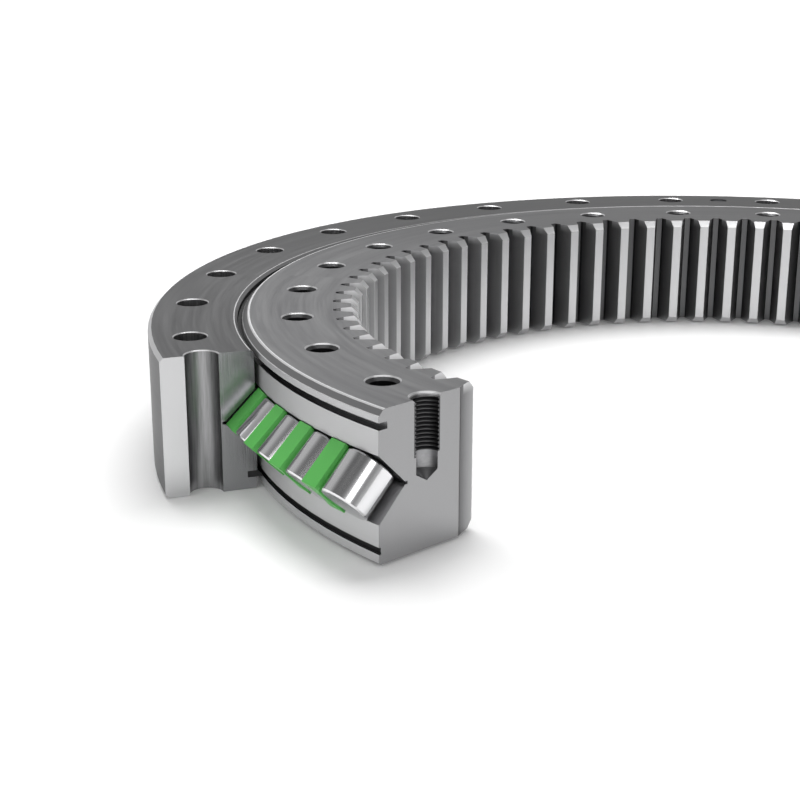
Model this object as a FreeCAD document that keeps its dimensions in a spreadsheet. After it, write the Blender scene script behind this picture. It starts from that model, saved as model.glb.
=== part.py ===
import FreeCAD, Part
import math
import os

import Sketcher

os.makedirs("parts", exist_ok=True)
doc = FreeCAD.newDocument("crossed_roller_bearing")
UP = FreeCAD.Vector(0, 0, 1)
CENTRE = FreeCAD.Vector(0, 0, 0)

# Driving dimensions, in millimetres and degrees. The bearing stands on z = 0, its axis on Z.
DIMENSIONS = {
    # Rollers, the spacers between them, and the race that they run in
    "race_diameter": 758.5,       # circle through the roller centres
    "roller_diameter": 32,
    "roller_length": 29.5,
    "roller_chamfer": 1,
    "race_clearance": 0.15,       # between a roller and each race face
    "race_height": 47,            # roller centres above the base
    "relief_width": 2,            # narrow slot at the bottom of each V race
    "rollers_per_turn": 64,
    "crossed_every": 5,           # one roller in this many carries the upward load
    "spacer_width": 14,           # round the race
    "spacer_depth": 29,           # across the roller's axis
    "spacer_length": 31.3,        # along the roller's axis
    "spacer_clearance": 0.3,
    # Outer ring, its wall and its bolts counted outwards from the circle of the rollers
    "outer_width": 62.75,
    "ring_depth": 94,             # height of either ring
    "wall_gap": 3.5,              # radial gap between the two rings
    "rim_chamfer": 2.5,
    "inside_chamfer": 2,
    "bolt_offset": 35.75,
    "bolt_hole": 22,
    "bolts_per_turn": 28,
    "hole_chamfer": 0.8,
    # Inner ring with its internal gear, counted inwards from the circle of the rollers
    "inner_lift": 1.5,            # the inner ring stands this much higher
    "lip_chamfer": 4,
    "foot_chamfer": 1,
    "tapped_offset": 39.25,
    "taps_per_turn": 26,
    "thread_diameter": 20,
    "thread_pitch": 2.5,
    "thread_depth": 35,
    "drill_depth": 46,
    "tapped_chamfer": 1.4,
    "gear_offset": 75.25,         # about where the pitch circle lies: the teeth come out whole
    "gear_module": 8,
    "pressure_angle": 20,
    "tooth_chamfer": 5,
    # Seals and the grooves that hold them
    "groove_height": 4.4,
    "groove_depth": 6.5,
    "groove_inset": 10,          # groove centre from the near face of its ring
    "seal_track": 1.5,            # shallow band that the lower seal's lip runs on
    "seal_clearance": 0.3,
    # Filling plug, closing the bore that the rollers go in by, and its pin
    "plug_diameter": 46,
    "plug_clearance": 0.05,
    "pin_diameter": 16,
    "pin_recess": 1.5,
    # Where the cutaway window is, counted from the X axis in each ring's own hole pitches
    "outer_cut_pitches": 16.5,
    "inner_cut_pitches": 17,
    "far_end_pitches": 2.5,       # both rings end here, in bolt pitches the other way
    "end_roller_angle": 2.6,      # last roller from the cut face of the inner ring
}

sheet = doc.addObject("Spreadsheet::Sheet", "sizes")
for row, (alias, number) in enumerate(DIMENSIONS.items(), start=1):
    sheet.set(f"A{row}", alias)
    sheet.set(f"B{row}", str(number))
    sheet.setAlias(f"B{row}", alias)
doc.recompute()


def size(alias):
    """One driving dimension, read from the sheet."""
    return float(sheet.get(alias))


# Sizes that follow from the driving ones, as formulas for the document's own bindings
RACE_RADIUS = "sizes.race_diameter / 2"
OUTER_RADIUS = f"({RACE_RADIUS} + sizes.outer_width)"
BOLT_RADIUS = f"({RACE_RADIUS} + sizes.bolt_offset)"
TAPPED_RADIUS = f"({RACE_RADIUS} - sizes.tapped_offset)"
GEAR_TEETH = "round((sizes.race_diameter - 2 * sizes.gear_offset) / sizes.gear_module)"
OUTER_WALL = "(sizes.race_diameter + sizes.wall_gap) / 2"
INNER_WALL = "(sizes.race_diameter - sizes.wall_gap) / 2"
RACE_HALF = "(sizes.roller_diameter / 2 + sizes.race_clearance) * sqrt(2)"
MOUTH_HALF = f"({RACE_HALF} - sizes.wall_gap / 2)"
RELIEF = "sizes.relief_width / 2"
RACE_TOP = f"sizes.race_height + {MOUTH_HALF}"
RACE_BOTTOM = f"sizes.race_height - {MOUTH_HALF}"
BASE_OF_INNER = "sizes.inner_lift"
TOP_OF_INNER = "(sizes.ring_depth + sizes.inner_lift)"
GROOVE_HALF = "sizes.groove_height / 2"
LOWER_GROOVE = "sizes.groove_inset"
UPPER_GROOVE = f"({TOP_OF_INNER} - sizes.groove_inset)"
TOOTH_TIP = f"(sizes.gear_module * ({GEAR_TEETH} / 2 - 1))"
SEAL_ROOT = "(sizes.groove_depth - sizes.seal_clearance)"
SEAL_HALF = f"({GROOVE_HALF} - sizes.seal_clearance / 2)"



def length_of(formula):
    """The number that a formula gives with the sheet's present sizes."""
    return float(sheet.evalExpression(formula))


bolt_pitch = 360 / size("bolts_per_turn")
outer_cut = size("outer_cut_pitches") * bolt_pitch
tap_pitch = 360 / size("taps_per_turn")
inner_cut = size("inner_cut_pitches") * tap_pitch
far_end = -size("far_end_pitches") * bolt_pitch
race_radius = size("race_diameter") / 2
outer_radius = length_of(OUTER_RADIUS)
race_height = size("race_height")
ring_depth = size("ring_depth")
inner_top = ring_depth + size("inner_lift")
roller_pitch = 360 / size("rollers_per_turn")
first_roller = inner_cut - size("end_roller_angle")
roller_count = int((first_roller - far_end - roller_pitch / 2) // roller_pitch) + 1


def profile(name, corners):
    """A closed sketch in the XZ plane, each corner's radius and height bound to the sheet."""
    sketch = doc.addObject("Sketcher::SketchObject", name)
    sketch.Placement = FreeCAD.Placement(CENTRE, FreeCAD.Rotation(FreeCAD.Vector(1, 0, 0), 90))
    spots = [FreeCAD.Vector(length_of(radius), length_of(height), 0) for radius, height in corners]
    for index, spot in enumerate(spots):
        sketch.addGeometry(Part.LineSegment(spot, spots[(index + 1) % len(spots)]), False)
    for index in range(len(spots)):
        following = (index + 1) % len(spots)
        sketch.addConstraint(Sketcher.Constraint("Coincident", index, 2, following, 1))
    for index, (radius, height) in enumerate(corners):
        place = sketch.addConstraint(
            Sketcher.Constraint("DistanceX", -1, 1, index, 1, spots[index].x))
        sketch.setExpression(f"Constraints[{place}]", radius)
        if height == "0":
            sketch.addConstraint(Sketcher.Constraint("PointOnObject", index, 1, -1))
        else:
            place = sketch.addConstraint(
                Sketcher.Constraint("DistanceY", -1, 1, index, 1, spots[index].y))
            sketch.setExpression(f"Constraints[{place}]", height)
    return sketch


def turned(name, corners, span):
    """A profile turned about the bearing's axis, from the X axis through the angle given."""
    revolution = doc.addObject("Part::Revolution", name)
    revolution.Source = profile(name + "_profile", corners)
    revolution.Axis = UP
    revolution.Base = CENTRE
    revolution.Solid = True
    revolution.setExpression("Angle", span)
    return revolution


def tool(name, shape):
    """A cutting shape, kept in the document as an object of its own."""
    cutter = doc.addObject("Part::Feature", name)
    cutter.Shape = shape
    return cutter


def cut(name, base, cutter):
    """The base with the cutter taken away."""
    result = doc.addObject("Part::Cut", name)
    result.Base = base
    result.Tool = cutter
    return result


def at_angle(shape, angle, radius=0.0):
    """A copy of a shape moved out along X and then turned about the bearing's axis."""
    copy = shape.copy()
    copy.translate(FreeCAD.Vector(radius, 0, 0))
    copy.rotate(CENTRE, UP, angle)
    return copy


def turned_wire(points):
    """A solid turned about Z from points of radius and height."""
    corners = [FreeCAD.Vector(radius, 0, height) for radius, height in points]
    face = Part.Face(Part.makePolygon(corners + corners[:1]))
    return face.revolve(CENTRE, UP, 360)


OUTER_SPAN = "(sizes.outer_cut_pitches + sizes.far_end_pitches) * 360 / sizes.bolts_per_turn"
INNER_SPAN = ("sizes.inner_cut_pitches * 360 / sizes.taps_per_turn"
              " + sizes.far_end_pitches * 360 / sizes.bolts_per_turn")


# Outer ring: turned section with the upper and lower race faces, and the lower seal's groove
RACE_OUT = f"{RACE_RADIUS} + {RACE_HALF}"
GROOVE_OUT = f"{OUTER_WALL} + sizes.groove_depth"
outer_section = [
    (f"{OUTER_WALL} + sizes.foot_chamfer", "0"),
    (f"{OUTER_RADIUS} - sizes.rim_chamfer", "0"),
    (OUTER_RADIUS, "sizes.rim_chamfer"),
    (OUTER_RADIUS, "sizes.ring_depth - sizes.rim_chamfer"),
    (f"{OUTER_RADIUS} - sizes.rim_chamfer", "sizes.ring_depth"),
    (f"{OUTER_WALL} + sizes.inside_chamfer", "sizes.ring_depth"),
    (OUTER_WALL, "sizes.ring_depth - sizes.inside_chamfer"),
    (OUTER_WALL, RACE_TOP),
    (f"{RACE_OUT} - {RELIEF}", f"sizes.race_height + {RELIEF}"),
    (f"{RACE_OUT} + {RELIEF}", f"sizes.race_height + {RELIEF}"),
    (f"{RACE_OUT} + {RELIEF}", f"sizes.race_height - {RELIEF}"),
    (f"{RACE_OUT} - {RELIEF}", f"sizes.race_height - {RELIEF}"),
    (OUTER_WALL, RACE_BOTTOM),
    (OUTER_WALL, f"{LOWER_GROOVE} + {GROOVE_HALF}"),
    (GROOVE_OUT, f"{LOWER_GROOVE} + {GROOVE_HALF}"),
    (GROOVE_OUT, f"{LOWER_GROOVE} - {GROOVE_HALF}"),
    (OUTER_WALL, f"{LOWER_GROOVE} - {GROOVE_HALF}"),
    (OUTER_WALL, "sizes.foot_chamfer"),
]
outer_blank = turned("outer_blank", outer_section, OUTER_SPAN)

# Through holes for the fixing bolts, chamfered at the top and ground flush with the base. They
# lie on whole pitches from the X axis, and one more in the cut face, half a pitch past the last.
hole_radius = size("bolt_hole") / 2
hole_rim = size("hole_chamfer")
bolt_hole = turned_wire([
    (0, -1),
    (hole_radius, -1),
    (hole_radius, ring_depth - hole_rim),
    (hole_radius + hole_rim + 1, ring_depth + 1),
    (0, ring_depth + 1),
])
first_hole = math.ceil(-size("far_end_pitches"))
outer_hole_angles = [
    step * bolt_pitch for step in range(first_hole, math.floor(size("outer_cut_pitches")) + 1)]
outer_hole_angles.append(outer_cut)
bolt_circle_radius = length_of(BOLT_RADIUS)
outer_holes = [at_angle(bolt_hole, angle - far_end, bolt_circle_radius)
               for angle in outer_hole_angles]

# Filling bore, midway between two bolt holes: a plug closes it and a pin locks the plug
plug_angle = 7.5 * bolt_pitch
plug_radius = size("plug_diameter") / 2
pin_radius = size("pin_diameter") / 2


def radial_cylinder(radius, inner_end, outer_end):
    """A cylinder lying along X at the height of the race."""
    start = FreeCAD.Vector(inner_end, 0, race_height)
    return Part.makeCylinder(radius, outer_end - inner_end, start, FreeCAD.Vector(1, 0, 0))


filling_bore = at_angle(radial_cylinder(plug_radius, race_radius, outer_radius + 1),
                        plug_angle - far_end)
pin_floor = race_height - plug_radius / 2
pin_bore = Part.makeCylinder(pin_radius, ring_depth, FreeCAD.Vector(0, 0, pin_floor))
pin_bore = at_angle(pin_bore, plug_angle - far_end, bolt_circle_radius)
outer_tools = tool("outer_cutters", Part.makeCompound(outer_holes + [filling_bore, pin_bore]))
outer_ring = cut("outer_ring", outer_blank, outer_tools)

plug_blank = Part.makeCompound([
    at_angle(radial_cylinder(plug_radius - size("plug_clearance"), race_radius,
                             outer_radius - size("rim_chamfer")), plug_angle - far_end)])
plug_shape = doc.addObject("Part::Common", "plug_shape")
plug_shape.Base = outer_blank
plug_shape.Tool = tool("plug_bar", plug_blank)
filler_plug = cut("filler_plug", plug_shape, tool("plug_pin_bore", pin_bore))

pin_length = ring_depth - size("pin_recess") - pin_floor
plug_pin = doc.addObject("Part::Cylinder", "plug_pin")
plug_pin.setExpression("Radius", "sizes.pin_diameter / 2 - sizes.plug_clearance")
plug_pin.Height = pin_length
pin_spot = FreeCAD.Vector(bolt_circle_radius, 0, pin_floor)


# Inner ring: lip and seal groove above, race in the middle, seal track below, bore for the gear
RACE_IN = f"{RACE_RADIUS} - {RACE_HALF}"
GROOVE_IN = f"{INNER_WALL} - sizes.groove_depth"
TRACK = f"{INNER_WALL} - sizes.seal_track"
inner_section = [
    (f"{TOOTH_TIP} + sizes.tooth_chamfer", BASE_OF_INNER),
    (f"{INNER_WALL} - sizes.foot_chamfer", BASE_OF_INNER),
    (INNER_WALL, f"{BASE_OF_INNER} + sizes.foot_chamfer"),
    (INNER_WALL, f"{LOWER_GROOVE} - {GROOVE_HALF}"),
    (TRACK, f"{LOWER_GROOVE} - {GROOVE_HALF}"),
    (TRACK, f"{LOWER_GROOVE} + {GROOVE_HALF}"),
    (INNER_WALL, f"{LOWER_GROOVE} + {GROOVE_HALF}"),
    (INNER_WALL, RACE_BOTTOM),
    (f"{RACE_IN} + {RELIEF}", f"sizes.race_height - {RELIEF}"),
    (f"{RACE_IN} - {RELIEF}", f"sizes.race_height - {RELIEF}"),
    (f"{RACE_IN} - {RELIEF}", f"sizes.race_height + {RELIEF}"),
    (f"{RACE_IN} + {RELIEF}", f"sizes.race_height + {RELIEF}"),
    (INNER_WALL, RACE_TOP),
    (INNER_WALL, f"{UPPER_GROOVE} - {GROOVE_HALF}"),
    (GROOVE_IN, f"{UPPER_GROOVE} - {GROOVE_HALF}"),
    (GROOVE_IN, f"{UPPER_GROOVE} + {GROOVE_HALF}"),
    (INNER_WALL, f"{UPPER_GROOVE} + {GROOVE_HALF}"),
    (INNER_WALL, f"{TOP_OF_INNER} - sizes.lip_chamfer"),
    (f"{INNER_WALL} - sizes.lip_chamfer", TOP_OF_INNER),
    (f"{TOOTH_TIP} + sizes.tooth_chamfer", TOP_OF_INNER),
    (TOOTH_TIP, f"{TOP_OF_INNER} - sizes.tooth_chamfer"),
    (TOOTH_TIP, f"{BASE_OF_INNER} + sizes.tooth_chamfer"),
]
inner_blank = turned("inner_blank", inner_section, INNER_SPAN)

# Tapped blind holes from above. The one in the cut face shows its thread turn by turn,
# the others keep the plain core bore.
core_radius = (size("thread_diameter") - 1.08 * size("thread_pitch")) / 2
crest_radius = size("thread_diameter") / 2
drill_tip = inner_top - size("drill_depth") - core_radius / math.tan(math.radians(59))
countersink = crest_radius + size("tapped_chamfer")
mouth = [
    (0, drill_tip),
    (core_radius, inner_top - size("drill_depth")),
]
plain_mouth = [
    (core_radius, inner_top - (countersink - core_radius)),
    (countersink + 1, inner_top + 1),
    (0, inner_top + 1),
]
threads = []
for turn in range(int(size("thread_depth") // size("thread_pitch"))):
    foot = inner_top - size("thread_depth") + turn * size("thread_pitch")
    threads.append((core_radius, foot + 0.1 * size("thread_pitch")))
    threads.append((crest_radius, foot + 0.5 * size("thread_pitch")))
    threads.append((core_radius, foot + 0.9 * size("thread_pitch")))
threads.pop()
threaded_mouth = [
    (crest_radius, inner_top - size("tapped_chamfer")),
    (countersink + 1, inner_top + 1),
    (0, inner_top + 1),
]
tapped_hole = turned_wire(mouth + plain_mouth)
threaded_hole = turned_wire(mouth + threads + threaded_mouth)
tapped_radius = length_of(TAPPED_RADIUS)
first_tap = math.ceil(far_end / tap_pitch)
inner_hole_angles = [
    (step + 0.5) * tap_pitch for step in range(first_tap, math.floor(size("inner_cut_pitches")))]
inner_holes = [at_angle(tapped_hole, angle - far_end, tapped_radius)
               for angle in inner_hole_angles]
inner_holes.append(at_angle(threaded_hole, inner_cut - far_end, tapped_radius))


# Internal gear: each gap between two teeth has involute flanks
gear_teeth = length_of(GEAR_TEETH)
tip_radius = length_of(TOOTH_TIP)
gear_pitch_radius = size("gear_module") * gear_teeth / 2
root_radius = gear_pitch_radius + 1.25 * size("gear_module")
base_radius = gear_pitch_radius * math.cos(math.radians(size("pressure_angle")))
tooth_pitch = 360 / gear_teeth


def involute(angle):
    """The involute function of an angle in radians."""
    return math.tan(angle) - angle


def half_gap(radius):
    """Half the angle that a tooth gap covers at a radius, in degrees."""
    slope = involute(math.radians(size("pressure_angle"))) - involute(math.acos(base_radius / radius))
    return tooth_pitch / 4 + math.degrees(slope)


def polar(radius, angle, height=0.0):
    """A point given by radius, angle in degrees and height."""
    turn = math.radians(angle)
    return FreeCAD.Vector(radius * math.cos(turn), radius * math.sin(turn), height)


FLANK_STEPS = 3
flank_radii = [tip_radius + (root_radius - tip_radius) * step / FLANK_STEPS
               for step in range(FLANK_STEPS + 1)]
flank_radii[0] = tip_radius - 0.5
one_flank = [polar(radius, half_gap(radius)) for radius in flank_radii]
other_flank = [polar(radius, -half_gap(radius)) for radius in reversed(flank_radii)]
gap_outline = one_flank + other_flank
gap_face = Part.Face(Part.makePolygon(gap_outline + gap_outline[:1]))
tooth_gap = gap_face.extrude(FreeCAD.Vector(0, 0, inner_top + 2))
tooth_gap.translate(FreeCAD.Vector(0, 0, -1))
first_gap = inner_cut + half_gap(root_radius) - far_end
gap_count = int(first_gap // tooth_pitch) + 2
gear_gaps = [at_angle(tooth_gap, first_gap - step * tooth_pitch) for step in range(gap_count)]
inner_tools = tool("inner_cutters", Part.makeCompound(inner_holes + gear_gaps))
inner_ring = cut("inner_ring", inner_blank, inner_tools)


# Seals: the upper one sits in the inner ring, the lower one in the outer ring. Each has a root
# in its groove and a lip that leans across the gap. Both stop where the outer ring is cut.
LIP_IN = f"({INNER_WALL} + sizes.seal_clearance)"
LIP_OUT = f"({OUTER_WALL} - sizes.seal_clearance)"
upper_seal_section = [
    (f"{INNER_WALL} - {SEAL_ROOT}", f"{UPPER_GROOVE} - {SEAL_HALF}"),
    (LIP_IN, f"{UPPER_GROOVE} - {SEAL_HALF}"),
    (LIP_OUT, f"{UPPER_GROOVE} + {GROOVE_HALF}"),
    (LIP_OUT, f"{UPPER_GROOVE} + {GROOVE_HALF} + sizes.seal_track"),
    (LIP_IN, f"{UPPER_GROOVE} + {SEAL_HALF}"),
    (f"{INNER_WALL} - {SEAL_ROOT}", f"{UPPER_GROOVE} + {SEAL_HALF}"),
]
lower_seal_section = [
    (f"{OUTER_WALL} + {SEAL_ROOT}", f"{LOWER_GROOVE} + {SEAL_HALF}"),
    (LIP_OUT, f"{LOWER_GROOVE} + {SEAL_HALF}"),
    (LIP_IN, f"{LOWER_GROOVE} - {SEAL_HALF} + sizes.seal_track"),
    (LIP_IN, f"{LOWER_GROOVE} - {SEAL_HALF}"),
    (LIP_OUT, f"{LOWER_GROOVE} - {SEAL_HALF}"),
    (f"{OUTER_WALL} + {SEAL_ROOT}", f"{LOWER_GROOVE} - {SEAL_HALF}"),
]
upper_seal = turned("upper_seal", upper_seal_section, OUTER_SPAN)
lower_seal = turned("lower_seal", lower_seal_section, OUTER_SPAN)


# Rollers: cylinders lying at 45 degrees in the square race. Most carry load one way, and
# every fifth is turned a quarter turn to carry it the other way.
roller_radius = size("roller_diameter") / 2


def leaning(shape, crossed):
    """A copy turned from upright to the 45 degree lean of the race, about its own centre."""
    copy = shape.copy()
    copy.rotate(CENTRE, FreeCAD.Vector(0, 1, 0), 45 if crossed else -45)
    return copy


def in_race(shape, angle):
    """A copy moved to the roller circle and turned to its angle."""
    copy = shape.copy()
    copy.translate(FreeCAD.Vector(race_radius, 0, race_height))
    copy.rotate(CENTRE, UP, angle)
    return copy


def is_crossed(index):
    """Whether the roller carries load the other way: none of the first few in the window does."""
    return index > 0 and index % int(size("crossed_every")) == 0


def upright_cylinder(radius, length):
    """A cylinder on Z, centred on the origin."""
    return Part.makeCylinder(radius, length, FreeCAD.Vector(0, 0, -length / 2))


def roller_form():
    """A roller with a small chamfer round each end."""
    half = size("roller_length") / 2
    bevel = size("roller_chamfer")
    return turned_wire([
        (0, -half),
        (roller_radius - bevel, -half),
        (roller_radius, bevel - half),
        (roller_radius, half - bevel),
        (roller_radius - bevel, half),
        (0, half),
    ])


def spacer_form(index):
    """A block that stands in the race between two rollers, hollowed to sit against each of them."""
    block = Part.makeBox(size("spacer_depth"), size("spacer_width"), size("spacer_length"))
    block.translate(FreeCAD.Vector(-size("spacer_depth") / 2, -size("spacer_width") / 2,
                                   -size("spacer_length") / 2))
    block = in_race(leaning(block, False), 0)
    hollow = upright_cylinder(roller_radius + size("spacer_clearance"), 3 * size("roller_length"))
    for side, neighbour in ((1, index), (-1, index + 1)):
        bed = in_race(leaning(hollow, is_crossed(neighbour)), side * roller_pitch / 2)
        block = block.cut(bed)
    middle = FreeCAD.Vector(race_radius, 0, race_height)
    wanted = min(block.Solids, key=lambda solid: solid.CenterOfMass.distanceToPoint(middle))
    return wanted


def placed_roller(name, form, angle, crossed):
    """An upright roller form leaned over and set in the race by its placement."""
    roller = tool(name, form)
    lean = FreeCAD.Rotation(FreeCAD.Vector(0, 1, 0), 45 if crossed else -45)
    roller.Placement = FreeCAD.Placement(
        polar(race_radius, angle, race_height), FreeCAD.Rotation(UP, angle).multiply(lean))
    return roller


window_count = int((first_roller - outer_cut) // roller_pitch) + 1
full_roller = roller_form()
plain_roller = upright_cylinder(roller_radius, size("roller_length"))
finished = []
rollers_inside = []
spacers_inside = []
crossed_count = 0
for index in range(roller_count):
    angle = first_roller - index * roller_pitch
    spacer = at_angle(spacer_form(index), angle - roller_pitch / 2)
    if index < window_count:
        finished.append(placed_roller(f"roller_{index + 1}", full_roller, angle, False))
        finished.append(tool(f"spacer_{index + 1}", spacer))
    elif is_crossed(index):
        crossed_count += 1
        finished.append(placed_roller(f"crossed_roller_{crossed_count}", plain_roller, angle, True))
        spacers_inside.append(spacer)
    else:
        rollers_inside.append(in_race(leaning(plain_roller, False), angle))
        spacers_inside.append(spacer)
finished.append(tool("rollers_in_race", Part.makeCompound(rollers_inside)))
finished.append(tool("spacers_in_race", Part.makeCompound(spacers_inside)))

# The rings, plug, pin and seals are made from the X axis round, and turned to where they start
doc.recompute()
for ring_part in (outer_ring, inner_ring, filler_plug, upper_seal, lower_seal):
    ring_part.Placement = FreeCAD.Placement(CENTRE, FreeCAD.Rotation(UP, far_end))
plug_pin.Placement = FreeCAD.Placement(
    FreeCAD.Rotation(UP, plug_angle).multVec(pin_spot), FreeCAD.Rotation(UP, plug_angle))
finished += [outer_ring, inner_ring, filler_plug, plug_pin, upper_seal, lower_seal]

doc.recompute()
for item in doc.Objects:
    if "Invalid" in item.State or "Error" in item.State:
        raise RuntimeError(f"{item.Name} did not build: {item.State}")
for item in finished:
    item.Label = item.Name
    if item.Shape.isNull() or not item.Shape.isValid():
        raise RuntimeError(f"{item.Name} has no valid shape")
    item.Shape.exportStep(f"parts/{item.Label}.step")
    print(item.Label, round(item.Shape.Volume / 1000), "cm3,", len(item.Shape.Solids), "solids")
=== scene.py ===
import math

import bpy
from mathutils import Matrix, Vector

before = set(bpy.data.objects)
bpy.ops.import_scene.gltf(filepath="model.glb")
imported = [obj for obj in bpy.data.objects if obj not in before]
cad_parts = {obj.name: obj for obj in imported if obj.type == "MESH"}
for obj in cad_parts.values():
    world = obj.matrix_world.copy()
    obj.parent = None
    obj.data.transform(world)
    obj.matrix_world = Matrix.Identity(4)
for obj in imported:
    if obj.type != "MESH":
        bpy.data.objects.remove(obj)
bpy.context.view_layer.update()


# Outer ring: forged bearing steel, turned on a lathe, drilled for its bolts and ground flat.
# The tool leaves fine lines that run round the ring, and highlights stretch across them. The
# bevels are bright fresh metal with a painted highlight, and the faces where the ring was cut
# open are polished. The race, the cut faces and the holes carry painted light and shade.
TURNED_STEEL = "#828283"
TURNED_STEEL_DARK = "#6F6F70"
OUTER_WALL_STEEL = "#757576"
OUTER_RACE_SHADE_AND_REFLECTION_STEEL = "#616563"     # hardened and ground, darker with painted shade and tinted with a painted green reflection of the spacers
# painted reflection of the white floor on the cut face beyond its half hole
FLOOR_REFLECTION_CUT_STEEL = "#BFBFC0"
PAINTED_SHADE_CUT_STEEL = "#8C8C8E"     # painted shade on the part of the cut face between its half hole and the race, where the inner ring shades it
FRESH_RIM_AND_HIGHLIGHT_STEEL = "#E6E6E7"            # bevelled rims and thin edge lines: fresh metal where the tool broke the edge, with a painted highlight
EASED_STEEL = "#929293"          # the wide bevel beside the gap between the rings
LIT_BORE_STEEL = "#B4B4B5"           # painted light inside the whole bolt holes, lifting their walls out of the hole's shade
DRILLED_STEEL = "#989899"        # inside the half hole in the cut face, lighter than the tapped holes, with only streaks of painted shade
HOLE_SHADE_STEEL = "#565657"          # painted shade in streaks inside the holes, and all over inside the tapped holes
GRAZING_STEEL = "#BCBCBC"        # the tint of what it mirrors when seen along its surface
TURNED_ROUGHNESS = 0.29
POLISH = 0.13                    # how much smoother the cut faces are
GRAIN_ROUGHNESS = 0.1            # how much rougher the tool's lines are than the steel between
LINE_DEPTH = 0.0008              # metres, as deep as the lines need to be to show
LINE_RELIEF = 0.1                # how much of that depth catches the light
HIGHLIGHT_STRETCH = 0.35         # how far a highlight stretches across the lines
TURNING_LINE = 0.0045            # metres between turning lines, far coarser than real, to show
MILLING_LINE = 0.0024            # metres between lines on cut faces and in holes, coarser too
LINE_STRETCH = 20                # how much longer than wide the milled lines are
LINE_FADE = 3.0                  # how often a turning line comes and goes in a radian of turn
CLOUD = 0.143                    # metres across a patch of slightly uneven polish
CLOUD_SHARE = 0.2                # how much it counts beside the lines
TONES = (0.33, 0.67)             # what part of the pattern runs from the dark to the light
STREAKS = (0.38, 0.7)            # what part of it runs from bare steel to painted shade
STREAK_STRENGTH = 0.6            # how much of the steel the painted shade hides
SLOPING = (0.25, 0.97)           # how far up or down the face of a bevel looks
UPRIGHT = 0.8                    # walls and race faces look less far up or down than this,
PLUMB = 0.2                      # and cut faces less than this
CUT_SKIN = 0.0004                # metres either side of a cut that count as its face
OUTER_CUT = math.radians(16.5 * 360 / 28 - 360)    # half a step past the 16th bolt hole
FAR_END = math.radians(-2.5 * 360 / 28)            # plain, and also between two bolt holes
FULL_HEIGHT = (-0.001, 0.1)      # a range of heights that takes in the whole ring


def linear(hex_text):
    """A colour written as sRGB hex, as the linear values that a shader takes."""
    values = [int(hex_text[place:place + 2], 16) / 255 for place in (1, 3, 5)]
    return [v / 12.92 if v <= 0.04045 else ((v + 0.055) / 1.055) ** 2.4 for v in values] + [1]


def add(tree, kind, inputs=(), **settings):
    """A new shader node with its settings, and its inputs by name or in order.

    Each input takes a value, a socket, or a node, which gives its first output in use.
    """
    made = tree.nodes.new("ShaderNode" + kind)
    for name, value in settings.items():
        setattr(made, name, value)
    for name, value in inputs.items() if isinstance(inputs, dict) else enumerate(inputs):
        if isinstance(value, bpy.types.Node):
            value = next(output for output in value.outputs if output.enabled)
        if isinstance(value, bpy.types.NodeSocket):
            tree.links.new(value, made.inputs[name])
        else:
            made.inputs[name].default_value = value
    return made


def new_material(name):
    """An empty material and its tree."""
    material = bpy.data.materials.new(name)
    material.use_nodes = True
    material.node_tree.nodes.clear()
    return material, material.node_tree


def paint(node_name, material):
    """Gives a frame node one material on all its faces."""
    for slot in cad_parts[node_name].material_slots:
        slot.material = material


def span(low, high):
    """The middle and half the width of a range, as a node that compares takes it."""
    return (low + high) / 2, (high - low) / 2


def from_hole(tree, radius, turn, count, start, circle):
    """The distance from the axis of the nearest hole in an evenly spaced row."""
    turned = add(tree, "Math", [turn, start], operation="SUBTRACT")
    off = add(tree, "Math", [turned, math.pi / count, -math.pi / count], operation="WRAP")
    # The law of cosines, in the triangle of the ring's axis, the hole's axis and the point.
    cosine = add(tree, "Math", [off], operation="COSINE")
    less = add(tree, "Math", [cosine, -2 * circle, radius], operation="MULTIPLY_ADD")
    square = add(tree, "Math", [less, radius, circle ** 2], operation="MULTIPLY_ADD")
    return add(tree, "Math", [square], operation="SQRT")


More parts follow.
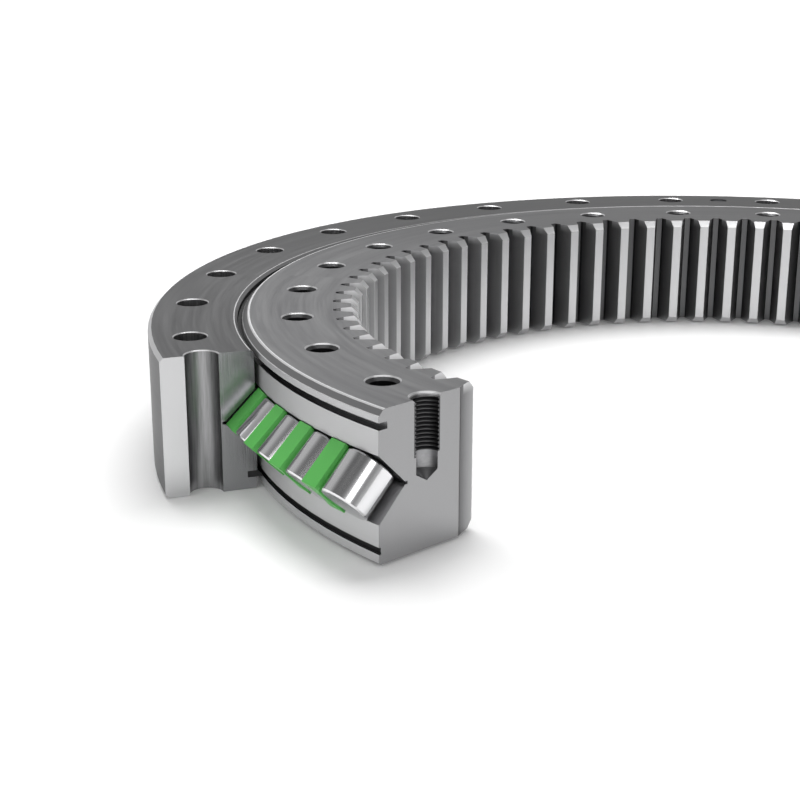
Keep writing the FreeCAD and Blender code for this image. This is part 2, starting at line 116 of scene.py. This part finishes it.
def ring_steel(name, turned_shades, cut, patches, holes):
    """Turned steel whose lines follow the ring, with a polished face where it was cut.

    Turned shades are the dark and the light colour of the turning lines, and cut is the angle
    of the cut. A patch colours one kind of face between two radii and two heights. It may be
    rougher too, and it may grow from nothing to its full strength outwards or upwards. Holes
    are evenly spaced rows, each with a colour of its own inside. All lengths are in metres.
    """
    material, tree = new_material(name)
    surface = add(tree, "TexCoord")
    place = surface.outputs["Object"]
    split = add(tree, "SeparateXYZ", [place])
    height = split.outputs["Z"]
    flat = add(tree, "VectorMath", [place, (1, 1, 0)], operation="MULTIPLY")
    radius = add(tree, "VectorMath", [flat], operation="LENGTH")
    turn = add(tree, "Math", [split.outputs["Y"], split.outputs["X"]], operation="ARCTAN2")

    # The kinds of face, each 1 on its own faces and 0 elsewhere.
    facing = add(tree, "SeparateXYZ", [surface.outputs["Normal"]])
    tilt = add(tree, "Math", [facing.outputs["Z"]], operation="ABSOLUTE")
    plumb = add(tree, "Math", [tilt, PLUMB], operation="LESS_THAN")
    skin = add(tree, "Math", [CUT_SKIN, radius], operation="DIVIDE")
    at_cut, at_far_end = (add(tree, "Math", [turn, side, skin], operation="COMPARE")
                          for side in (cut, FAR_END))
    at_end = add(tree, "Math", [at_cut, at_far_end], operation="MAXIMUM")
    faces = {
        "any": 1.0,
        "sloping": add(tree, "Math", [tilt, *span(*SLOPING)], operation="COMPARE"),
        "upright": add(tree, "Math", [tilt, UPRIGHT], operation="LESS_THAN"),
        "cut": add(tree, "Math", [at_end, plumb], operation="MULTIPLY")}
    rows = []
    drilled = 0.0
    for hole in holes:
        reach = from_hole(tree, radius, turn, hole["count"], hole["start"], hole["circle"])
        within = add(tree, "Math", [reach, hole["wall"]], operation="LESS_THAN")
        level = add(tree, "Math", [height, *span(*hole["heights"])], operation="COMPARE")
        wall = add(tree, "Math", [within, level], operation="MULTIPLY")
        drilled = add(tree, "Math", [drilled, wall], operation="MAXIMUM")
        rows.append((hole, reach, wall))
    straight = add(tree, "Math", [faces["cut"], drilled], operation="MAXIMUM")

    # The tool's lines: round the ring where it was turned, and straight where it was cut.
    lathe_place = add(tree, "CombineXYZ", [
        add(tree, "Math", [radius, 1 / TURNING_LINE], operation="MULTIPLY"),
        add(tree, "Math", [height, 1 / TURNING_LINE], operation="MULTIPLY"),
        add(tree, "Math", [turn, LINE_FADE], operation="MULTIPLY")])
    lathe = add(tree, "TexNoise", {
        "Vector": lathe_place, "Scale": 1.0, "Detail": 4.0, "Roughness": 0.7})
    mill_place = add(tree, "VectorMath", [
        place, (1 / MILLING_LINE, 1 / MILLING_LINE, 1 / (MILLING_LINE * LINE_STRETCH))],
        operation="MULTIPLY")
    mill = add(tree, "TexNoise", {
        "Vector": mill_place, "Scale": 1.0, "Detail": 3.0, "Roughness": 0.6})
    grain = add(tree, "Mix", {"Factor": straight, "A": lathe, "B": mill})

    clouds = add(tree, "TexNoise", {"Vector": place, "Scale": 1 / CLOUD, "Detail": 2.0})
    tone = add(tree, "Mix", {"Factor": CLOUD_SHARE, "A": lathe, "B": clouds})
    tone = add(tree, "MapRange", {"Value": tone, "From Min": TONES[0], "From Max": TONES[1]})
    colour = add(tree, "Mix", {
        "Factor": tone, "A": linear(turned_shades[0]), "B": linear(turned_shades[1])},
        data_type="RGBA")
    roughness = add(tree, "Math", [grain, GRAIN_ROUGHNESS, TURNED_ROUGHNESS],
                    operation="MULTIPLY_ADD")
    roughness = add(tree, "Math", [faces["cut"], -POLISH, roughness], operation="MULTIPLY_ADD")

    for patch in patches:
        share = faces[patch["on"]]
        for value, limits in ((radius, patch["radii"]), (height, patch["heights"])):
            inside = add(tree, "Math", [value, *span(*limits)], operation="COMPARE")
            share = add(tree, "Math", [share, inside], operation="MULTIPLY")
        for value, growth in ((radius, "grows_outwards"), (height, "grows_upwards")):
            if growth in patch:
                none, full = patch[growth]
                grown = add(tree, "MapRange", {
                    "Value": value, "From Min": none, "From Max": full})
                share = add(tree, "Math", [share, grown], operation="MULTIPLY")
        colour = add(tree, "Mix", {"Factor": share, "A": colour, "B": linear(patch["shade"])},
                     data_type="RGBA")
        if "rougher" in patch:
            roughness = add(tree, "Math", [share, patch["rougher"], roughness],
                            operation="MULTIPLY_ADD")

    # Each hole's rim is fresh metal with a painted highlight, and its wall takes the row's
    # colour: painted light in the whole bolt holes, its own steel in the half hole, painted
    # shade in the tapped holes.
    for hole, reach, wall in rows:
        on_rim = add(tree, "Math", [reach, *span(hole["wall"], hole["rim"])],
                     operation="COMPARE")
        above = add(tree, "Math", [height, hole["heights"][1]], operation="GREATER_THAN")
        rim = add(tree, "Math", [on_rim, above], operation="MULTIPLY")
        rim = add(tree, "Math", [rim, faces["sloping"]], operation="MULTIPLY")
        for share, shade in ((rim, FRESH_RIM_AND_HIGHLIGHT_STEEL), (wall, hole["shade"])):
            colour = add(tree, "Mix", {"Factor": share, "A": colour, "B": linear(shade)},
                         data_type="RGBA")
    # Painted shade in streaks down the walls of the holes.
    streak = add(tree, "MapRange", {
        "Value": mill, "From Min": STREAKS[0], "From Max": STREAKS[1],
        "To Max": STREAK_STRENGTH})
    streaked = add(tree, "Math", [drilled, streak], operation="MULTIPLY")
    colour = add(tree, "Mix", {"Factor": streaked, "A": colour, "B": linear(HOLE_SHADE_STEEL)},
                 data_type="RGBA")

    steel = add(tree, "BsdfPrincipled", {
        "Base Color": colour, "Metallic": 1.0, "Roughness": roughness,
        "Normal": add(tree, "Bump", {
            "Height": grain, "Strength": LINE_RELIEF, "Distance": LINE_DEPTH}),
        "Specular Tint": linear(GRAZING_STEEL), "Anisotropic": HIGHLIGHT_STRETCH,
        "Tangent": add(tree, "Tangent", direction_type="RADIAL", axis="Z")})
    add(tree, "OutputMaterial", {"Surface": steel})
    return material


outer_steel = ring_steel(
    "turned_bearing_steel_outer", (TURNED_STEEL_DARK, TURNED_STEEL), OUTER_CUT,
    patches=[
        dict(on="upright", radii=(0.4410, 0.4430), heights=(-0.001, 0.0916),
             shade=OUTER_WALL_STEEL),
        dict(on="upright", radii=(0.3812, 0.4040), heights=(0.0255, 0.0685),
             shade=OUTER_RACE_SHADE_AND_REFLECTION_STEEL),
        dict(on="sloping", radii=(0.4390, 0.4422), heights=(0.0910, 0.0950), shade=FRESH_RIM_AND_HIGHLIGHT_STEEL),
        dict(on="sloping", radii=(0.3805, 0.3835), heights=(0.0915, 0.0945), shade=EASED_STEEL),
        # painted highlight: a thin bright line along the edge of the bevel beside the gap
        dict(on="any", radii=(0.3828, 0.3836), heights=(0.0935, 0.0945), shade=FRESH_RIM_AND_HIGHLIGHT_STEEL),
        # The cut face: a painted reflection of the floor beyond the half hole, and painted
        # shade nearer the race.
        dict(on="cut", radii=(0.4150, 0.4500), heights=FULL_HEIGHT, shade=FLOOR_REFLECTION_CUT_STEEL),
        dict(on="cut", radii=(0.3700, 0.4150), heights=FULL_HEIGHT, shade=PAINTED_SHADE_CUT_STEEL)],
    holes=[
        dict(count=28, start=0.0, circle=0.415, wall=0.0111, rim=0.0124,
             heights=(-0.001, 0.0931), shade=LIT_BORE_STEEL),
        dict(count=1, start=OUTER_CUT, circle=0.415, wall=0.01105, rim=0.0124,
             heights=(-0.001, 0.0931), shade=DRILLED_STEEL)])
paint("outer_ring", outer_steel)


# Inner ring: the same steel, faced lighter. On its teeth, painted light brightens the tips and
# the bevelled ends, a painted highlight lies on the upper ends of the flanks, and painted shade
# darkens the flanks towards the roots and the roots between them. Its outer wall is painted
# lighter, and a painted highlight runs along the edge of the lip's bevel. The lower seal's lip
# runs in a shallow track on its wall, which is coloured black.
FACED_STEEL = "#9B9B9C"
FACED_STEEL_DARK = "#868688"
INNER_CUT_STEEL = "#959596"
INNER_RACE_STEEL = "#A8A8A9"
# painted light on the ring's outer wall, which lifts it where it mirrors the shaded floor
# between the rings
LIT_WALL_STEEL = "#C0C0C1"
WALL_ROUGHNESS = 0.24            # added where the wall was only turned, and not ground
TRACK_STEEL = "#2B2B2C"          # black, in the shallow track where the seal's lip runs
LIP_STEEL = "#909091"
EDGE_HIGHLIGHT_STEEL = "#F6F6F7"           # painted highlight on the line where the lip's bevel meets the top
# painted light on the tips of the teeth and on their lower bevels
LIT_TIP_STEEL = "#C0C0C1"
# painted highlight on the bevelled top ends of the teeth
TOOTH_END_HIGHLIGHT_STEEL = "#EAEAEB"
FLANK_STEEL = "#A8A8A9"          # beside the tip
FLANK_SHADE_STEEL = "#747475"     # beside the root, painted shade that deepens from the tip towards the root
FLANK_END_HIGHLIGHT_STEEL = "#D2D2D3"       # painted highlight on the upper ends of the flanks, fading downwards into the rest
# painted shade in the roots between the teeth
ROOT_SHADE_STEEL = "#5A5A5B"
TOOTH_ROUGHNESS = 0.05
INNER_CUT = math.radians(17 * 360 / 26 - 360)      # through a tapped hole

inner_steel = ring_steel(
    "turned_bearing_steel_inner", (FACED_STEEL_DARK, FACED_STEEL), INNER_CUT,
    patches=[
        dict(on="upright", radii=(0.3550, 0.3773), heights=(0.0255, 0.0685),
             shade=INNER_RACE_STEEL),
        dict(on="upright", radii=(0.3773, 0.3780), heights=FULL_HEIGHT, shade=LIT_WALL_STEEL,
             rougher=WALL_ROUGHNESS),
        dict(on="upright", radii=(0.2900, 0.2966), heights=FULL_HEIGHT, shade=LIT_TIP_STEEL,
             rougher=TOOTH_ROUGHNESS),
        dict(on="upright", radii=(0.2966, 0.3120), heights=FULL_HEIGHT, shade=FLANK_STEEL,
             rougher=TOOTH_ROUGHNESS),
        dict(on="upright", radii=(0.2966, 0.3120), heights=FULL_HEIGHT,
             shade=FLANK_SHADE_STEEL, grows_outwards=(0.2966, 0.3120)),
        dict(on="upright", radii=(0.3120, 0.3142), heights=(0.0017, 0.0953), shade=ROOT_SHADE_STEEL),
        dict(on="upright", radii=(0.3745, 0.3771), heights=(0.0079, 0.0121),
             shade=TRACK_STEEL),
        dict(on="sloping", radii=(0.2900, 0.3025), heights=(0.0895, 0.0956),
             shade=TOOTH_END_HIGHLIGHT_STEEL),
        dict(on="sloping", radii=(0.2900, 0.3025), heights=(0.0010, 0.0070), shade=LIT_TIP_STEEL),
        dict(on="sloping", radii=(0.3741, 0.3770), heights=(0.0917, 0.0953), shade=LIP_STEEL),
        dict(on="sloping", radii=(0.3770, 0.3777), heights=(0.0905, 0.0925), shade=FRESH_RIM_AND_HIGHLIGHT_STEEL),
        dict(on="upright", radii=(0.2966, 0.3085), heights=FULL_HEIGHT, shade=FLANK_END_HIGHLIGHT_STEEL,
             grows_upwards=(0.0890, 0.0950)),
        dict(on="any", radii=(0.3724, 0.3741), heights=(0.0945, 0.0958), shade=EDGE_HIGHLIGHT_STEEL),
        dict(on="cut", radii=(0.2900, 0.3800), heights=FULL_HEIGHT, shade=INNER_CUT_STEEL)],
    holes=[
        dict(count=26, start=math.pi / 26, circle=0.340, wall=0.0105, rim=0.0118,
             heights=(0.0476, 0.0946), shade=HOLE_SHADE_STEEL),
        dict(count=1, start=INNER_CUT, circle=0.340, wall=0.0103, rim=0.0118,
             heights=(0.0603, 0.0940), shade=HOLE_SHADE_STEEL)])
paint("inner_ring", inner_steel)


# Filling plug: it closes the bore through which the rollers were put in. It is a piece of the
# outer ring's steel and was turned in its place together with the ring, so that it carries the
# same lines.
paint("filler_plug", outer_steel)


# Pin that locks the filling plug: a plain ground rod of steel, driven in from above. Ground
# steel has no lines that run one way, and it looks a shade darker than the ring.
PIN_STEEL = "#6B6C6E"
PIN_GRAIN = 0.00286              # metres, far coarser than the wheel's grit, to show
PIN_ROUGHNESS = (0.3, 0.45)      # from one speckle of the grain to the next

material, tree = new_material("ground_pin_steel")
spot = add(tree, "TexCoord").outputs["Object"]
speckle = add(tree, "TexNoise", {"Vector": spot, "Scale": 1 / PIN_GRAIN, "Detail": 2.0})
steel = add(tree, "BsdfPrincipled", {
    "Base Color": linear(PIN_STEEL), "Metallic": 1.0,
    "Roughness": add(tree, "MapRange", {
        "Value": speckle, "To Min": PIN_ROUGHNESS[0], "To Max": PIN_ROUGHNESS[1]})})
add(tree, "OutputMaterial", {"Surface": steel})
paint("plug_pin", material)


# Rollers: through-hardened chrome steel, ground and superfinished. The surface is close to a
# mirror, and only a faint smear of oil makes its highlights a little softer in places.
ROLLER_STEEL = "#DFDFE0"
ROLLER_STEEL_DARK = "#D4D4D6"
OIL_SMEAR = 0.04                 # metres across a smear
ROLLER_ROUGHNESS = (0.13, 0.17)  # from wiped steel to an oily smear

material, tree = new_material("superfinished_chrome_steel")
spot = add(tree, "TexCoord").outputs["Object"]
smear = add(tree, "TexNoise", {"Vector": spot, "Scale": 1 / OIL_SMEAR, "Detail": 1.0})
steel = add(tree, "BsdfPrincipled", {
    "Base Color": add(tree, "Mix", {
        "Factor": smear, "A": linear(ROLLER_STEEL_DARK), "B": linear(ROLLER_STEEL)},
        data_type="RGBA"),
    "Metallic": 1.0,
    "Roughness": add(tree, "MapRange", {
        "Value": smear, "To Min": ROLLER_ROUGHNESS[0], "To Max": ROLLER_ROUGHNESS[1]})})
add(tree, "OutputMaterial", {"Surface": steel})
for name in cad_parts:
    if "roller" in name:
        paint(name, material)


# Spacers: injection-moulded polyamide, dyed a bright green, each held between two rollers.
# The mould's spark-eroded walls leave a very fine texture, which gives them a soft sheen.
SPACER_GREEN = "#5CBA58"
SPACER_GREEN_DARK = "#54AF50"
MOULD_GRAIN = 0.0006             # metres, a little coarser than the real texture, to show
MOULD_DEPTH = 0.0002             # metres, deeper too
MOULD_RELIEF = 0.15              # how much of that depth catches the light
DYE_PATCH = 0.0167               # metres across a patch of slightly uneven dye
SPACER_ROUGHNESS = (0.38, 0.48)  # from one such patch to the next

material, tree = new_material("moulded_green_polyamide")
spot = add(tree, "TexCoord").outputs["Object"]
texture = add(tree, "TexNoise", {"Vector": spot, "Scale": 1 / MOULD_GRAIN, "Detail": 2.0})
patches = add(tree, "TexNoise", {"Vector": spot, "Scale": 1 / DYE_PATCH, "Detail": 2.0})
plastic = add(tree, "BsdfPrincipled", {
    "Base Color": add(tree, "Mix", {
        "Factor": patches, "A": linear(SPACER_GREEN_DARK), "B": linear(SPACER_GREEN)},
        data_type="RGBA"),
    "Roughness": add(tree, "MapRange", {
        "Value": patches, "To Min": SPACER_ROUGHNESS[0], "To Max": SPACER_ROUGHNESS[1]}),
    "Normal": add(tree, "Bump", {
        "Height": texture, "Strength": MOULD_RELIEF, "Distance": MOULD_DEPTH})})
add(tree, "OutputMaterial", {"Surface": plastic})
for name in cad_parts:
    if name.startswith("spacer"):
        paint(name, material)


# Seals: extruded black nitrile rubber, pressed into the groove of one ring with the lip on the
# other. The rubber is dull, with a faint grey bloom where its wax comes to the surface.
SEAL_BLACK = "#161617"
SEAL_BLOOM = "#242425"
BLOOM_PATCH = 0.0125             # metres across a patch of bloom
SEAL_ROUGHNESS = (0.55, 0.7)     # from bare rubber to bloom

material, tree = new_material("black_nitrile_rubber")
spot = add(tree, "TexCoord").outputs["Object"]
bloom = add(tree, "TexNoise", {"Vector": spot, "Scale": 1 / BLOOM_PATCH, "Detail": 3.0})
rubber = add(tree, "BsdfPrincipled", {
    "Base Color": add(tree, "Mix", {
        "Factor": bloom, "A": linear(SEAL_BLACK), "B": linear(SEAL_BLOOM)}, data_type="RGBA"),
    "Roughness": add(tree, "MapRange", {
        "Value": bloom, "To Min": SEAL_ROUGHNESS[0], "To Max": SEAL_ROUGHNESS[1]})})
add(tree, "OutputMaterial", {"Surface": rubber})
for name in ("upper_seal", "lower_seal"):
    paint(name, material)


# Studio floor: one broad matt white sheet that the bearing stands on and throws its shadow on.
# Away from the bearing the sheet turns plain white, to the eye and in what mirrors it.
FLOOR_WHITE = "#FAFAFA"
WHITE = "#FFFFFF"
FLOOR_REACH = 9.0                # metres from the middle to the sheet's edge
FLOOR_GAP = 0.0003               # metres under the rings, so that no two faces lie in one plane
GLOW_NEAR = 0.05                 # light that the sheet adds where it is looked at or mirrored
GLOW_FAR = 0.8
GLOW_MIRRORED = 0.18             # more of it where steel mirrors the sheet
GLOW_RISE = (0.6, 3.0)           # metres from the ring's axis over which it grows

bpy.ops.mesh.primitive_plane_add(size=2 * FLOOR_REACH, location=(0, 0, -FLOOR_GAP))
floor = bpy.context.object
floor.name = "studio_floor"
material, tree = new_material("matt_white_sheet")
seen = add(tree, "LightPath")
mirrored = add(tree, "Math", [
    seen.outputs["Is Glossy Ray"], seen.outputs["Is Transmission Ray"]], operation="MAXIMUM")
looked_at = add(tree, "Math", [seen.outputs["Is Camera Ray"], mirrored], operation="MAXIMUM")
away = add(tree, "VectorMath", [add(tree, "TexCoord").outputs["Object"]], operation="LENGTH")
glow = add(tree, "MapRange", {
    "Value": away, "From Min": GLOW_RISE[0], "From Max": GLOW_RISE[1],
    "To Min": GLOW_NEAR, "To Max": GLOW_FAR}, interpolation_type="SMOOTHSTEP")
glow = add(tree, "Math", [looked_at, glow], operation="MULTIPLY")
glow = add(tree, "Math", [mirrored, GLOW_MIRRORED, glow], operation="MULTIPLY_ADD")
sheet = add(tree, "AddShader", [
    add(tree, "BsdfDiffuse", {"Color": linear(FLOOR_WHITE)}),
    add(tree, "Emission", {"Color": linear(WHITE), "Strength": glow})])
add(tree, "OutputMaterial", {"Surface": sheet})
floor.data.materials.append(material)


# Studio light: an even dome and soft boxes round the bearing. What looks at the studio sees
# white behind everything, and steel mirrors that white low down, then a grey ceiling, a dark
# band and a lighter top, with a dimmer wall on the right.
DOME_LIGHT = 0.3
CEILING = "#C5C5C5"
DARK_BAND = "#616161"
OVERHEAD = "#E1E1E1"
CEILING_RISE = (0.04, 0.32)      # how high one shade turns into the next, from 0 to 1 on top
BAND_RISE = (0.6, 0.8)
OVERHEAD_RISE = (0.83, 0.87)
RIGHT_WALL = 0.5
RIGHT_WALL_REACH = (0.4, 0.75)   # how far right the wall dims, from 0 ahead to 1 at the side

world = bpy.data.worlds.new("studio_dome")
bpy.context.scene.world = world
world.use_nodes = True
tree = world.node_tree
tree.nodes.clear()
direction = add(tree, "SeparateXYZ", [add(tree, "TexCoord").outputs["Generated"]])
studio = linear(WHITE)
for (first, last), shade in (
        (CEILING_RISE, CEILING), (BAND_RISE, DARK_BAND), (OVERHEAD_RISE, OVERHEAD)):
    climb = add(tree, "MapRange", {
        "Value": direction.outputs["Z"], "From Min": first, "From Max": last},
        interpolation_type="SMOOTHSTEP")
    studio = add(tree, "Mix", {"Factor": climb, "A": studio, "B": linear(shade)},
                 data_type="RGBA")
rightward = add(tree, "MapRange", {
    "Value": direction.outputs["X"], "From Min": RIGHT_WALL_REACH[0],
    "From Max": RIGHT_WALL_REACH[1], "To Min": 1.0, "To Max": RIGHT_WALL},
    interpolation_type="SMOOTHSTEP")
seen = add(tree, "LightPath")
mirrored = add(tree, "Math", [
    seen.outputs["Is Glossy Ray"], seen.outputs["Is Transmission Ray"]], operation="MAXIMUM")
by_steel = add(tree, "MixShader", [
    mirrored,
    add(tree, "Background", {"Color": linear(WHITE), "Strength": DOME_LIGHT}),
    add(tree, "Background", {"Color": studio, "Strength": rightward})])
by_eye = add(tree, "MixShader", [
    seen.outputs["Is Camera Ray"], by_steel,
    add(tree, "Background", {"Color": linear(WHITE), "Strength": 1.0})])
add(tree, "OutputWorld", {"Surface": by_eye})

# Each box has its place and what it faces, its width and height in metres, and its watts.
for name, place, aim, width, height, power in (
        ("key_box", (-0.6, 0.9, 2.6), (-0.1, 0.0, 0.05), 2.0, 1.7, 68),
        ("strip_box", (0.98, -2.25, 1.47), (-0.2, -0.3, 0.05), 0.8, 1.2, 7),
        ("front_box", (-1.5, -2.2, 1.5), (0.0, -0.1, 0.05), 1.2, 1.2, 11),
        ("right_box", (2.3, -1.0, 1.4), (0.0, -0.1, 0.05), 1.0, 1.2, 7)):
    lamp = bpy.data.lights.new(name, "AREA")
    lamp.shape = "RECTANGLE"
    lamp.size = width
    lamp.size_y = height
    lamp.energy = power
    box = bpy.data.objects.new(name, lamp)
    bpy.context.scene.collection.objects.link(box)
    box.location = place
    box.rotation_euler = (Vector(aim) - Vector(place)).to_track_quat("-Z", "Y").to_euler()


# Camera, at the photograph's height and angle: it stands in front of the window in the ring
# and looks down a little to the left, so the ring's axis lies near the picture's right edge.
CAMERA_PLACE = (-0.0257, -1.0897, 0.3564)
CAMERA_LOOK = (-0.21063, 0.92939, -0.30309)
CAMERA_LENS = 68.03              # millimetres, on a sensor 36 mm wide
SENSOR_WIDTH = 36
CAMERA_RANGE = (0.01, 50)        # metres from the camera that it sees

camera = bpy.data.cameras.new("camera")
camera.sensor_width = SENSOR_WIDTH
camera.lens = CAMERA_LENS
camera.clip_start, camera.clip_end = CAMERA_RANGE
eye = bpy.data.objects.new("camera", camera)
bpy.context.scene.collection.objects.link(eye)
eye.location = CAMERA_PLACE
eye.rotation_euler = Vector(CAMERA_LOOK).to_track_quat("-Z", "Y").to_euler()
bpy.context.scene.camera = eye
bpy.context.scene.view_settings.view_transform = "Standard"
